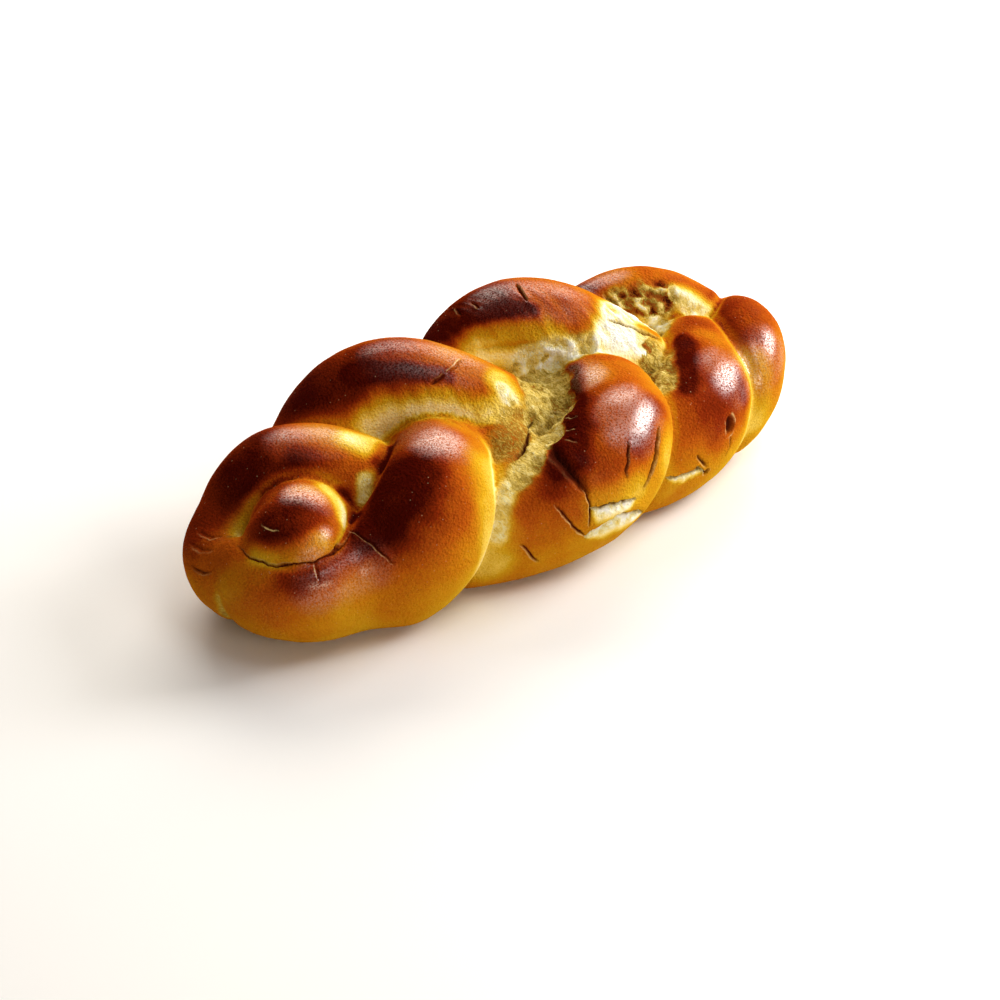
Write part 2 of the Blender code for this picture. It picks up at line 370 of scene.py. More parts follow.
# Places and lengths below are in millimetres, in the loaf's frame. A crack is a
# narrow groove: lift raises the crust along one side of it, lip is how pale that
# edge is, partly pale dough and partly painted highlight, and the last column is
# the width of a dark band of painted shade along the other side
cracks = rowsOf("path width depth lift lip burn", [
    ([(-16, 12, 73), (-22, 10, 73), (-27, 9, 72)], 0.6, 0.65, 0.9, 1.2),
    ([(-28, 9, 72), (-32, 9, 71), (-35, 10, 70)], 0.8, 1.0, 0.2, 0.3, 1.2),
    ([(35, 35, 80), (32, 29, 80), (30, 23, 78)], 0.6, 1.5, -0.5, 0.7),
    ([(13, 49, 71), (10, 42, 71)], 0.6, 0.8, 0.5, 0.3, 1.0),
    ([(17, 43, 75), (15, 37, 75)], 0.6, 0.7, 0.4, 0.3, 1.0),
    ([(-103, -19, 46), (-103, -29, 46), (-101, -37, 43), (-99, -42, 39)], 0.5, 1.0, 0.7, 0.6, 0.8),
    ([(-124, -26, 44), (-127, -31, 43), (-128, -34, 40)], 0.5, 0.7, 0.4, 0.7),
    ([(-132, -5, 54), (-132, -10, 54), (-130, -14, 55)], 0.5, 0.5, 0.2, 1),
    ([(-149, 19, 31), (-148, 12, 31), (-146, 8, 32)], 0.8, 0.9, 0.4, 0.3),
    ([(-140, 26, 39), (-139, 19, 39), (-135, 15, 38)], 0.9, 0.6, 0.3, 0.3),
    ([(-145, 26, 36), (-144, 18, 36), (-141, 12, 36)], 0.9, 0.6, 0.3, 0.2),
    ([(-130, 13, 34), (-133, 12, 36), (-137, 15, 37)], 0.8, 1.0, 0.3, 0.4),
    ([(-16, -38, 57), (-19, -46, 55), (-19, -53, 52), (-17, -59, 46),
      (-16, -61, 43)], 2.0, 3.4, 1.1, 0.05, 2.6),
    ([(-17, -59, 46), (-16, -62, 40), (-16, -62, 34), (-16, -62, 28)], 0.6, 1.4, 0.9, 1, 1.2),
    ([(-29, -56, 42), (-26, -59, 36), (-22, -60, 30), (-16, -61, 23)], 0.5, 1.1, 0.9, 1, 0.9),
    ([(-42, -50, 27), (-38, -52, 21), (-34, -52, 15)], 0.5, 1.0, 0.7, 0.8, 0.9),
    ([(8, -59, 57), (5, -62, 53), (2, -64, 48), (1, -65, 45)], 0.5, 1.2, -0.5, 0.3),
    ([(27, -57, 55), (22, -62, 50), (19, -64, 45), (13, -65, 39), (10, -65, 36)], 1.0, 2.2, -0.5, 0.4),
    ([(-138, 3, 43), (-140, -7, 44), (-138, -16, 44), (-134, -22, 45), (-126, -27, 45), (-116, -27, 45),
      (-106, -24, 46), (-101, -21, 47)], 0.5, 1.0, -0.3, 0.4, 0.8),
    ([(-3, -16, 52), (-11, -22, 53), (-19, -29, 53), (-25, -32, 53),
      (-30, -33, 52)], 0.7, 1.8, 0.5, 0.1, 1.4),
    ([(56, 2, 69), (64, -2, 64), (70, -6, 60), (77, -10, 56)], 0.45, 0.8, -0.5, 0.6, 0.5),
    ([(12, -19, 53), (4, -19, 54)], 0.7, 0.7, 0.4, 0.6),
    ([(-5, -35, 59), (-5, -42, 61)], 0.6, 0.7, 0.5, 0.8),
    ([(-11, -42, 59), (-9, -48, 58)], 0.6, 0.6, 0.4, 0.7),
    ([(0, -29, 60), (1, -37, 62)], 0.6, 0.6, 0.4, 0.6),
    ([(51, -56, 31), (54, -56, 27), (58, -55, 22)], 0.7, 1.3, 0.5, 0.6),
    ([(71, -56, 32), (72, -55, 27), (70, -55, 21)], 0.7, 1.4, 0.5, 0.7),
    ([(6, 29, 62), (16, 19, 64), (27, 9, 65)], 1.3, 0.5, 0.4, 0),
    ([(79, 28, 62), (79, 22, 61), (82, 20, 61)], 0.8, 0.8, 0.5, 0.9),
])

# a tear is a band where the crust has parted over pale dough: deep along its upper
# edge, with a dark line of painted shadow there, and rising to its lower one
tears = rowsOf("path width depth", [
    ([(-16, -62, 37), (-9, -64, 34), (-3, -65, 34), (7, -66, 33)], 2.4, 2.0),
    ([(-17, -61, 23), (-11, -63, 24), (-1, -65, 26), (10, -64, 22), (16, -63, 20)], 3.0, 2.2),
    ([(37, -53, 24), (46, -55, 22), (52, -56, 23), (57, -56, 20)], 1.4, 1.5),
])

# crumb laid bare where the dough stretched: soft is how wide its edge fades, and sink
# how deep it lies. tone runs from 0, white, to 1, brown, and spread is how far it
# varies; halo is how much paler the crust is around it
crumbPlaces = rowsOf("path reach soft relief folds sink tone spread halo cover", [
    ([(18, 2, 54), (9, -12, 54), (1, -20, 53)], 12, 0.5, 1.2, 0.8, 1.2, 0.35, 0.16, 0),
    ([(-8, -30, 56), (-24, -38, 54), (-34, -41, 50)], 6, 0.6, 1.0, 0.4, 1.2, 0.3, 0.15, 0.1),
    ([(-38, -41, 49), (-44, -43, 43), (-50, -46, 32)], 3.2, 1.2, 0.8, 0, 0.4, 0.2, 0.15, 0.2),
    ([(-12, -16, 56), (-19, -23, 56), (-25, -28, 52)], 8, 0.7, 0.1, 0, 0, 0.5, 0.06, 0, 0.75),
    ([(16, 11, 59), (26, 7, 62), (35, 2, 62), (44, -3, 63)], 5.2, 1.1, 1.3, 1.0, 0, 0.1, 0.3, 0.1),
    ([(54, -4, 65), (60, -9, 62), (64, -14, 58)], 8, 1.2, 0.5, 0.5, 1.0, 0, 0.15, 0.25),
    ([(66, -16, 57), (61, -23, 54), (55, -31, 53)], 8.5, 0.7, 1.2, 1.0, 1.5, 0.42, 0.25, 0.05),
    ([(80, 20, 61), (88, 15, 62), (95, 9, 60)], 7, 0.8, 2.2, 1.4, 1.0, 0.52, 0.9, 0.1),
    ([(14, 13, 57), (24, 9, 56), (28, 6, 56)], 5, 1.2, 0.8, 0.6, 0, 0.15, 0.3, 0),
    ([(-9, -4, 63), (-9, -10, 60)], 2.6, 1.2, 0.6, 0.3, 0, 0.16, 0.3, 0.3),
    ([(60, 5, 69), (74, 5, 62), (88, 3, 54)], 6, 1.0, 1.2, 1.3, 0.3, 0.15, 0.4, 0.2),
    ([(101, 8, 61), (105, 3, 58), (106, -1, 56)], 4, 1.2, 0.6, 0.6, 0, 0.14, 0.3, 0.22),
    ([(-83, -6, 53), (-86, -9, 47)], 2.8, 1.4, 0.2, 0, 0.3, 0.24, 0.1, 0),
    ([(-144, 5, 31), (-147, 3, 24), (-145, 3, 16)], 1.8, 1.6, 0.8, 0.5, 0, 0.45, 0.3, 0.15),
])

# crust drawn into fine streaks that run down the strand's side
puckers = rowsOf("path reach relief bake", [
    ([(-54, 18, 60), (-38, 6, 61), (-26, -4, 58)], 14, 0.3, 0.12),
    ([(-2, 46, 66), (14, 32, 72), (30, 18, 72), (42, 8, 72)], 18, 0.35, 0.14),
    ([(-4, -30, 58), (-12, -42, 58)], 10, 0.35, 0.12),
    ([(62, 40, 56), (76, 30, 62)], 12, 0.3, 0.12),
])

# dents in the crust: a dark one has broken open, and its pit is painted dark, painted shade
hollows = rowsOf("middle halfSize depth dark", [
    ((71, -56, 37), (3.2, 4, 4.6), 2.6, 1),
    ((59, -56, 19), (2.0, 3, 2.0), 1.8, 1),
    ((-10, -34, 61), (13, 11, 16), 4.0, 0),
])

# where the skin's mesh is made finer: bands along cracks, and shares of other places
finer = {
    "wideBand": 3.6,
    "narrowBand": 1.7,
    "ofWidth": 0.7,
    "ofHollow": 1.3,
    "ofCrumb": 1.03,
    "settling": 1,
    "combing": 2,
}


# a path marks only the skin near it, and fades at its tips
paths = {"farOff": 12 * mm, "span": 9 * mm, "tipRise": 5}
noPath = 1e8  # stands for the distance where no path is near


def nearPath(points, normals, path):
    # distance to the path within the surface, which side of it, and how far along
    path = inFrame(path)
    starts, ends = path[:-1], path[1:]
    lengths = np.linalg.norm(ends - starts, axis=1)
    before = np.concatenate([[0], np.cumsum(lengths)[:-1]])
    best = np.full(len(points), noPath)
    side = np.zeros(len(points))
    along = np.zeros(len(points))
    for start, end, length, passed in zip(starts, ends, lengths, before):
        ahead = (end - start) / length
        offset = points - start
        t = np.clip(offset @ ahead, 0, length)
        away = offset - t[:, None] * ahead
        far = np.linalg.norm(away, axis=1) > paths["farOff"]
        away -= (away * normals).sum(axis=1)[:, None] * normals
        distance = np.where(far, np.inf, np.linalg.norm(away, axis=1))
        closer = distance < best
        best = np.where(closer, distance, best)
        turned = (np.cross(ahead, normals) * away).sum(axis=1)
        side = np.where(closer, np.sign(turned), side)
        along = np.where(closer, (passed + t) / lengths.sum(), along)
    return best, side, along


def fading(distance, along, rounding):
    # which points are close enough to a path to be marked, and how strongly
    close = distance < paths["span"]
    return close, np.clip(paths["tipRise"] * along * (1 - along), 0, 1) ** rounding * close


def awayFrom(points, path):
    # plain distance to the path, in millimetres
    path = inFrame(path)
    best = np.full(len(points), np.inf)
    for start, end in zip(path[:-1], path[1:]):
        ahead = end - start
        t = np.clip((points - start) @ ahead / (ahead @ ahead), 0, 1)
        away = points - start - t[:, None] * ahead
        best = np.minimum(best, np.linalg.norm(away, axis=1))
    return best / mm


# shifts that make each noise its own
seeds = {
    "lump": 1.0,
    "tear": 3.0,
    "ripple": 5.0,
    "crack": 7.0,
    "ragged": 11.0,
    "patch": 17.0,
    "fibre": 21.0,
    "pore": 31.0,
    "fold": 41.0,
    "streak": 61.0,
}


def noiseField(points, size, name, octaves):
    # fractal noise, about -1 to 1, with features of that size in millimetres
    scaled = points / (size * mm) + seeds[name]
    return np.array([noise.fractal(Vector(p), 1.0, 2.0, octaves) for p in scaled])


def smooth(low, high, values):
    t = np.clip((values - low) / (high - low), 0, 1)
    return t * t * (3 - 2 * t)


def ellipsoid(points, place):
    # 0 in its middle, 1 on its surface
    scaled = (points - inFrame(place["middle"])) / inFrame(place["halfSize"])
    return np.linalg.norm(scaled, axis=1)


def detailBand(points, reach):
    # which points lie within reach of a crack or tear
    chosen = np.zeros(len(points), bool)
    for feature in cracks + tears:
        chosen |= awayFrom(points, feature["path"]) < reach + finer["ofWidth"] * feature["width"]
    for hollow in hollows:
        if hollow["dark"]:
            chosen |= ellipsoid(points, hollow) < finer["ofHollow"]
    return chosen


def crumbBand(points):
    chosen = np.zeros(len(points), bool)
    for place in crumbPlaces:
        chosen |= awayFrom(points, place["path"]) < finer["ofCrumb"] * place["reach"]
    return chosen


def refine(mesh, chosen):
    bm = bmesh.new()
    bm.from_mesh(mesh)
    faces = [face for face in bm.faces if any(chosen[v.index] for v in face.verts)]
    edges = {edge.index: edge for face in faces for edge in face.edges}
    bmesh.ops.subdivide_edges(bm, edges=list(edges.values()), cuts=1, use_grid_fill=True)
    bm.to_mesh(mesh)
    bm.free()


# how cracks wander, and how their edges rise and pale
cracking = {
    "wander": 0.6,
    "wanderSize": 3.5,
    "patchSize": 4.5,
    "tipRounding": 0.6,
    "tipWidth": 0.4,
    "liftReach": 2.6,
    "dip": -0.35,
    "shadeDepths": (0.4, 1.3),  # where a crack starts to be painted dark inside, painted shade, and where it is black
    "lipAt": 1.2,
    "lipWidth": 0.35,
    "lipLeast": 0.2,
    "lipPatches": 0.6,
    "patchEdge": (-0.5, 0.3),
    "shadeBandEdge": (0.3, 0.8),
}


def crackRelief(points, normals):
    relief, inside, lips, burnt = np.zeros((4, len(points)))
    wander = noiseField(points, cracking["wanderSize"], "crack", 2) * cracking["wander"] * mm
    patchy = smooth(*cracking["patchEdge"], noiseField(points, cracking["patchSize"], "patch", 1))
    for crack in cracks:
        distance, side, along = nearPath(points, normals, crack["path"])
        close, taper = fading(distance, along, cracking["tipRounding"])
        signed = (distance * side + wander * close) * np.sign(crack["lift"])
        width = crack["width"] * mm * (cracking["tipWidth"] + (1 - cracking["tipWidth"]) * taper)
        groove = taper * bell(signed, 0, width)
        raised = signed > 0
        edge = taper * np.exp(-np.abs(signed) / (cracking["liftReach"] * mm))
        edge = edge * np.where(raised, 1, cracking["dip"])
        relief += -crack["depth"] * mm * groove + abs(crack["lift"]) * mm * edge
        # painted shade: the groove of a deep crack is darkened
        inside = np.maximum(inside, groove * smooth(*cracking["shadeDepths"], crack["depth"]))
        # pale edge on the raised side: partly pale dough, partly painted highlight
        lip = bell(np.abs(signed), cracking["lipAt"] * width, cracking["lipWidth"] * width) * raised
        lip = crack["lip"] * taper * lip * (cracking["lipLeast"] + cracking["lipPatches"] * patchy)
        lips = np.maximum(lips, lip)
        # painted shade: a dark band along the side that is not lifted, black nearest the crack
        if "burn" in crack:
            fade = smooth(crack["burn"] * mm, 0, np.abs(signed)) * ~raised
            burnt = np.maximum(burnt, taper * fade)
            inside = np.maximum(inside, taper * smooth(*cracking["shadeBandEdge"], fade))
    return relief, inside, lips, burnt


# how tears wander, and how their edges lie
tearing = {
    "wander": 1.3,
    "wanderSize": 5,
    "tipRounding": 0.7,
    "tipWidth": 0.1,
    "upperEdge": (1.2, 0.9),
    "lowerEdge": (1.5, 0.4),
    "floor": (1.3, -1.0),
    "brow": 0.5,  # how far the crust above the tear stands up
    "browAt": -1.9,
    "browWidth": 0.6,
    "shadowSlitAt": 0.9,
    "shadowSlitWidth": 0.8,
    "stretched": 0.4,  # how much paler the crust is below the tear
    "stretchedTo": 3.2,
}


def tearRelief(points, normals):
    relief, bare, inside, stretched = np.zeros((4, len(points)))
    wander = noiseField(points, tearing["wanderSize"], "tear", 3) * tearing["wander"] * mm
    for tear in tears:
        distance, side, along = nearPath(points, normals, tear["path"])
        close, taper = fading(distance, along, tearing["tipRounding"])
        width = np.maximum(tear["width"] * mm * taper, tearing["tipWidth"] * mm)
        across = (distance * side + wander) / width  # -1 at the upper edge, 1 at the lower
        upper, lower = smooth(*tearing["upperEdge"], -across), smooth(*tearing["lowerEdge"], across)
        band = np.where(across < 0, upper, lower) * close
        relief -= tear["depth"] * mm * band * smooth(*tearing["floor"], across)
        brow = bell(across, tearing["browAt"], tearing["browWidth"])
        relief += tearing["brow"] * mm * close * taper * brow
        bare = np.maximum(bare, band)
        # painted shadow: a dark line along the upper edge, under the crust's brow
        shadowSlit = distance * side + wander + width
        shadowSlit = bell(shadowSlit, tearing["shadowSlitAt"] * mm, tearing["shadowSlitWidth"] * mm)
        inside = np.maximum(inside, close * taper * shadowSlit)
        pull = tearing["stretched"] * close * taper * smooth(-1, 0, across)
        stretched = np.maximum(stretched, pull * smooth(tearing["stretchedTo"], 1, across))
    return relief, bare * (1 - inside), inside, stretched


# slow swellings and short ripples of the whole crust, and streaks where it puckers
grain = {
    "lumps": 0.5,
    "lumpSize": 26,
    "ripples": 0.12,
    "rippleSize": 7,
    "heights": (1.5, 8),  # below the first the foot stays even
    "streakSize": 2.6,
    "streakRun": (1, 0.12, 0.12),
    "puckerEdge": (1.2, 0.5),
}


def crustRelief(points, lump):
    ripple = noiseField(points, grain["rippleSize"], "ripple", 2)
    low, high = grain["heights"]
    body = smooth(low * mm, high * mm, points[:, 2])
    relief = (grain["lumps"] * lump + grain["ripples"] * ripple) * mm * body
    streak = noiseField(points * grain["streakRun"], grain["streakSize"], "streak", 2)
    puckered = np.zeros(len(points))
    for pucker in puckers:
        share = smooth(*grain["puckerEdge"], awayFrom(points, pucker["path"]) / pucker["reach"])
        relief += pucker["relief"] * mm * share * streak
        puckered += pucker["bake"] * share * streak
    return relief, puckered


# how torn dough looks: its fibres, pores and folds, and its uneven edge
tornDough = {
    "fibreSize": 3.4,
    "fibreRun": (1, 0.5, 1),
    "fibres": 0.6,
    "poreSize": 4.2,
    "pores": 0.5,
    "foldSize": 9,
    "foldRun": (1, 0.7, 1),
    "foldTop": 0.6,
    "foldSteepness": 2.6,
    "raggedSize": 10,
    "raggedEdge": 0.28,
    "fibreEdge": 0.12,
    "foldShade": 0.6,
    "fibreTone": 0.5,
    "haloEdge": (2.1, 0.9),
    "tearTone": 0.06,
    "tearFibreTone": 0.2,
    "tearFibres": 0.3,
}


def crumbRelief(points, ragged, fibre):
    relief, crumb, tone, halo = np.zeros((4, len(points)))
    pores = noiseField(points, tornDough["poreSize"], "pore", 1)
    folds = noiseField(points * tornDough["foldRun"], tornDough["foldSize"], "fold", 2)
    folds = tornDough["foldTop"] - tornDough["foldSteepness"] * np.abs(folds)
    rough = tornDough["fibres"] * fibre - tornDough["pores"] * np.abs(pores)
    # the crumb is paler on the ridges of its folds and darker in the creases between them: partly the
    # dough's own pattern, partly painted shade; the fibres vary it as grain
    foldShadeAndGrain = tornDough["foldShade"] * folds + tornDough["fibreTone"] * fibre
    for place in crumbPlaces:
        away = awayFrom(points, place["path"]) / place["reach"]
        away = away + tornDough["raggedEdge"] * ragged + tornDough["fibreEdge"] * fibre
        mask = smooth(1 + place["soft"] / 2, 1 - place["soft"] / 2, away) * place.get("cover", 1)
        torn = place["relief"] * rough + place["folds"] * folds - place["sink"]
        relief += torn * mm * mask * (1 - crumb)
        tone = np.where(mask > crumb, place["tone"] - place["spread"] * foldShadeAndGrain, tone)
        halo = np.maximum(halo, place["halo"] * smooth(*tornDough["haloEdge"], away))
        crumb = np.maximum(crumb, mask)
    return relief, crumb, tone, halo


# how a hollow's wall falls in, and the pale broken ring round a dark one, partly pale dough and partly
# painted highlight
hollowing = {
    "edge": 1.05,
    "bottom": 0.6,
    "ring": 0.5,
    "ringAt": 1.12,
    "ringWidth": 0.12,
    "ringGaps": (-0.1, 0.5),
}

# distances above the skin at which other dough is felt for, and their shares
feelers = ((5, 0.3), (12, 0.4), (22, 0.3))
deepest = -0.3


def sculpt(mesh):
    points = coordinates(mesh)
    facts = seams(points)
    normals = vertexNormals(mesh)
    lump = noiseField(points, grain["lumpSize"], "lump", 2)
    ragged = noiseField(points, tornDough["raggedSize"], "ragged", 3)
    fibre = noiseField(points * tornDough["fibreRun"], tornDough["fibreSize"], "fibre", 2)
    relief, puckered = crustRelief(points, lump)
    crumbDepth, crumb, tone, halo = crumbRelief(points, ragged, fibre)
    crackDepth, inside, lips, burnt = crackRelief(points, normals)
    tearDepth, bare, shadowSlit, stretched = tearRelief(points, normals)
    relief += crumbDepth + crackDepth + tearDepth + tornDough["tearFibres"] * mm * bare * fibre
    inside = np.maximum(inside, shadowSlit)
    for hollow in hollows:
        out = ellipsoid(points, hollow)
        sunk = smooth(hollowing["edge"], hollowing["bottom"] * hollow["dark"], out)
        relief -= hollow["depth"] * mm * sunk
        # painted shade: the pit of a dark hollow is darkened
        inside = np.maximum(inside, sunk * hollow["dark"])
        ring = bell(out, hollowing["ringAt"], hollowing["ringWidth"])
        ring = ring * smooth(*hollowing["ringGaps"], fibre)
        lips = np.maximum(lips, hollowing["ring"] * hollow["dark"] * ring)
    openness = np.zeros(len(points))
    for reach, share in feelers:
        beyond, _ = loafSurface(points + normals * reach * mm)
        openness += share * np.clip(beyond / (reach * mm), deepest, 1)
    points = points + relief[:, None] * normals
    points[:, 2] = np.maximum(points[:, 2], 0)
    setCoordinates(mesh, points)
    tearTone = tornDough["tearTone"] - tornDough["tearFibreTone"] * fibre
    facts.update(
        points=points, normals=normals, openness=openness, lump=lump, ragged=ragged, puckered=puckered,
        crumb=np.maximum(crumb, bare), tone=np.where(bare > crumb, tearTone, tone),
        halo=np.maximum(halo, stretched), inside=inside, lips=lips, burnt=burnt,
    )
    return facts


skinMesh = makeSkin()
print("skin:", len(skinMesh.vertices), "points")
for band in ("wideBand", "narrowBand"):
    points = coordinates(skinMesh)
    chosen = detailBand(points, finer[band])
    if band == "wideBand":
        chosen |= crumbBand(points)
    refine(skinMesh, chosen)
    settle(skinMesh, finer["settling"])
    comb(skinMesh, finer["combing"])
facts = sculpt(skinMesh)
print("sculpted:", len(skinMesh.vertices), "points")

# how far each place is baked, from 0, pale dough, to 1, the darkest crust; besides real browning it
# holds painted shade on the sides turned from the key light and along cracks, and paler crust painted
# where highlights fall
bake = {
    "least": 0.36,
    "tops": 0.27,
    "sideShare": 0.3,  # of what the tops get
    "slopes": (-0.6, 0.6),
    "sidesFrom": 2,
    "sidesTo": 62,
    "openEdge": (0.25, 0.95),
    "shadedSide": (-0.9, -0.1, 0.15),  # the side painted browner, painted shade away from the key light
    "sideShade": 0.32,
    "sideShadeEdge": (-0.9, 0.8),
    "sideShadeMiddle": 0.45,
    "seams": 0.04,
    "seamWidth": 2,
    "mottle": 0.07,
    "ragged": 0.14,
    "placeEdge": (1.15, 0.3),
    "heel": 0.12,
    "heelHeight": 9,
    "shadeBandBake": 0.95,
}

# places browner or paler than the rule makes them, some on one strand only. Many are real browning;
# some darken sides turned from the key light, painted shade, and some pale the crust where highlights
# fall, painted highlight
browningAndPaintedLight = rowsOf("path reach change strand", [
    ([(-130, 30, 44), (-119, 28, 54), (-106, 25, 61)], 24, 0.2),
    ([(-75, 8, 60), (-70, 6, 59)], 9.5, -0.42, 1),
    ([(-65, 1, 57), (-69, -2, 56), (-73, -5, 55)], 5.5, 0.5),
    ([(-99, 14, 61), (-88, 7, 60)], 7, 0.1),
    ([(-131, 14, 33), (-125, 16, 40), (-121, 14, 47)], 8, -0.25),
    ([(-83, -6, 54), (-86, -9, 48)], 4, -0.3),
    ([(-92, -4, 49), (-94, -10, 46), (-97, -15, 45)], 5, 0.45),
    ([(-101, -3, 55), (-100, -11, 53), (-104, -18, 51)], 5, -0.36),
    ([(-129, -12, 55), (-120, -14, 58)], 16, 0.22),
    ([(-120, -24, 50), (-132, -21, 47), (-137, -10, 44)], 7, -0.34),
    ([(-80, -25, 60), (-88, -25, 56), (-94, -25, 52)], 21, 0.36, 2),
    ([(-46, -35, 55), (-54, -50, 45), (-52, -44, 20)], 14, -0.27),
    ([(-133, -28, 43), (-120, -29, 44), (-107, -29, 46)], 10, 0.15),
    ([(-141, -15, 43), (-146, -9, 39), (-149, -3, 31)], 9, -0.13),
    ([(-72, 46, 60), (-60, 40, 68), (-42, 26, 74)], 22, 0.15),
    ([(-54, 17, 58), (-38, 5, 59), (-27, -5, 56)], 14, -0.5, 0),
    ([(-15, -9, 60), (-7, -7, 62), (-7, -1, 66)], 9, -0.48),
    ([(25, -8, 59), (20, -14, 58), (12, -24, 58), (2, -31, 57)], 8, 0.42, 1),
    ([(-10, -14, 56), (-18, -21, 57), (-25, -27, 53)], 12, -0.22),
    ([(4, -30, 60), (-8, -42, 60), (-17, -49, 56)], 12, 0.32),
    ([(29, -58, 53), (31, -60, 39), (37, -51, 18)], 8, -0.12),
    ([(-12, -63, 38), (6, -65, 38)], 10, -0.22),
    ([(2, 52, 61), (9, 46, 68), (20, 36, 75)], 17, 0.2),
    ([(9, 26, 65), (17, 19, 66), (27, 11, 67)], 13, -0.45, 2),
    ([(50, -6, 62), (57, -1, 68), (68, 6, 68)], 9, -0.6),
    ([(80, -17, 57), (75, -25, 58), (66, -34, 58), (59, -41, 55)], 7, 0.33, 0),
    ([(76, -27, 59), (60, -44, 53)], 12, 0.07, 0),
    ([(62, 40, 55), (70, 34, 62)], 15, 0.2),
    ([(106, 3, 59), (108, -3, 56)], 9, -0.5),
    ([(126, -21, 59), (116, -10, 62), (104, -14, 57)], 18, 0.1),
    ([(120, -2, 56), (127, 8, 55)], 6, 0.12),
    # paler crust where highlights fall on the far lobes, partly real and partly painted highlight
    ([(98, -42, 50), (94, -49, 36), (92, -48, 24)], 11, -0.27),
    ([(84, 34, 63), (92, 28, 64)], 10, -0.13),
    ([(-56, 34, 73), (-40, 19, 74), (-28, 9, 71)], 5.5, 0.24, 0),
    ([(11, 37, 71), (20, 28, 75), (28, 19, 76)], 5.5, 0.24, 2),
    ([(88, -20, 62), (90, -30, 63)], 8, -0.1),
    ([(87, -46, 51), (85, -51, 43)], 6, 0.13),
    ([(31, -50, 58), (24, -58, 54), (12, -61, 53)], 8, 0.16, 1),
    ([(113, -33, 59), (104, -36, 57)], 7, 0.05),
    ([(50, -23, 59), (42, -16, 60)], 7, 0.1, 1),
    ([(6, 29, 62), (16, 19, 64), (27, 9, 65)], 3, 0.14),
    ([(-24, -42, 55), (-26, -52, 47)], 9, 0.1),
    ([(77, -53, 42), (66, -53, 38)], 17, 0.2),
    ([(-54, -6, 63), (-55, -24, 66)], 12, 0.04),
    # paler crust under the glazed crests, partly real and partly painted sheen
    ([(-96, 22, 65), (-81, 13, 64)], 13, -0.2),
    ([(-112, -4, 60), (-108, -9, 59)], 8, -0.2),
    ([(27, -10, 62), (23, -22, 65)], 11, -0.18),
    ([(-38, 24, 77), (-14, 8, 72)], 14, -0.1),
])


def bakeAndPaintedLightOf(facts):
    points, normals = facts["points"], facts["normals"]
    free = smooth(*bake["openEdge"], facts["openness"])
    height = smooth(bake["sidesFrom"] * mm, bake["sidesTo"] * mm, points[:, 2])
    top = smooth(*bake["slopes"], normals[:, 2])
    top = bake["sideShare"] + (1 - bake["sideShare"]) * top
    # painted shade: crust turned away from the key light is made browner
    turned = smooth(*bake["sideShadeEdge"], normals @ np.array(bake["shadedSide"])) - bake["sideShadeMiddle"]
    baked = bake["least"] + bake["tops"] * free * height * top + bake["sideShade"] * turned
    baked += bake["mottle"] * facts["lump"] - bake["seams"] * (1 - free)
    baked += facts["puckered"] - facts["halo"]
    beyondSeam = 0.5 * smooth(0, bake["seamWidth"] * mm, facts["gap"])
    for place in browningAndPaintedLight:
        away = awayFrom(points, place["path"]) / place["reach"] + bake["ragged"] * facts["ragged"]
        share = smooth(*bake["placeEdge"], away)
        if "strand" in place:
            own = facts["strand"] == place["strand"]
            share = share * (0.5 + np.where(own, beyondSeam, -beyondSeam))
        baked += place["change"] * share
    baked += bake["heel"] * smooth(bake["heelHeight"] * mm, 0, points[:, 2])
    # painted shade along the cracks
    baked = np.maximum(baked, facts["burnt"] * bake["shadeBandBake"])
    # crumb keeps its own tone
    return np.clip(baked + (facts["tone"] - baked) * facts["crumb"], 0, 1)


# how strongly the egg glaze shines
glaze = {"uneven": 0.02, "placeEdge": (1.15, 0.2)}
glazed = rowsOf("path reach change", [
    ([(20, -50, 62), (14, -53, 59)], 14.5, 1),
    ([(80, -46, 49), (80, -43, 58)], 12, 0.58),
    ([(98, -42, 48), (108, -42, 53)], 13, 0.62),
    ([(-54, -6, 63), (-55, -22, 66)], 13, 0.52),
    ([(-96, 22, 65), (-81, 13, 64)], 12, 0.28),
    ([(-113, -4, 60), (-109, -10, 59)], 9, 0.42),
    ([(-40, 28, 77), (-18, 12, 73)], 14, 0.25),
    ([(24, 36, 77), (45, 16, 78)], 14, 0.25),
    ([(25, -10, 62), (22, -20, 64)], 10, 0.5),
    ([(74, 40, 60), (88, 30, 63)], 9, 0.3),
    ([(-128, -34, 37), (-108, -37, 40)], 12, 0.34),
    ([(-118, -24, 49), (-126, -24, 47)], 6, 0.45),
])


def shineOf(facts):
    shine = glaze["uneven"] * facts["lump"]
    for place in glazed:
        away = awayFrom(facts["points"], place["path"]) / place["reach"]
        shine += place["change"] * smooth(*glaze["placeEdge"], away)
    return np.clip(shine, 0, 1)


facts["bake"] = bakeAndPaintedLightOf(facts)
facts["shine"] = shineOf(facts)
marks = ("bake", "crumb", "inside", "lips", "shine")  # what the material reads from the skin
for name in marks:
    attribute = skinMesh.attributes.new(name, "FLOAT", "POINT")
    attribute.data.foreach_set("value", np.clip(facts[name], 0, 1).astype(np.float32))
skinMesh.shade_smooth()
loaf = bpy.data.objects.new("loaf", skinMesh)
bpy.context.scene.collection.objects.link(loaf)


def newGroup(name, inputs, outputs):
    group = bpy.data.node_groups.new(name, "ShaderNodeTree")
    for label, kind, value in inputs:
        socket = group.interface.new_socket(label, in_out="INPUT", socket_type=kind)
        if value is not None:
            socket.default_value = value
    for label, kind in outputs:
        group.interface.new_socket(label, in_out="OUTPUT", socket_type=kind)
    return group, group.nodes.new("NodeGroupInput"), group.nodes.new("NodeGroupOutput")


def node(tree, kind, **settings):
    made = tree.nodes.new(kind)
    for setting, value in settings.items():
        if setting in made.inputs:
            made.inputs[setting].default_value = value
        else:
            setattr(made, setting, value)
    return made


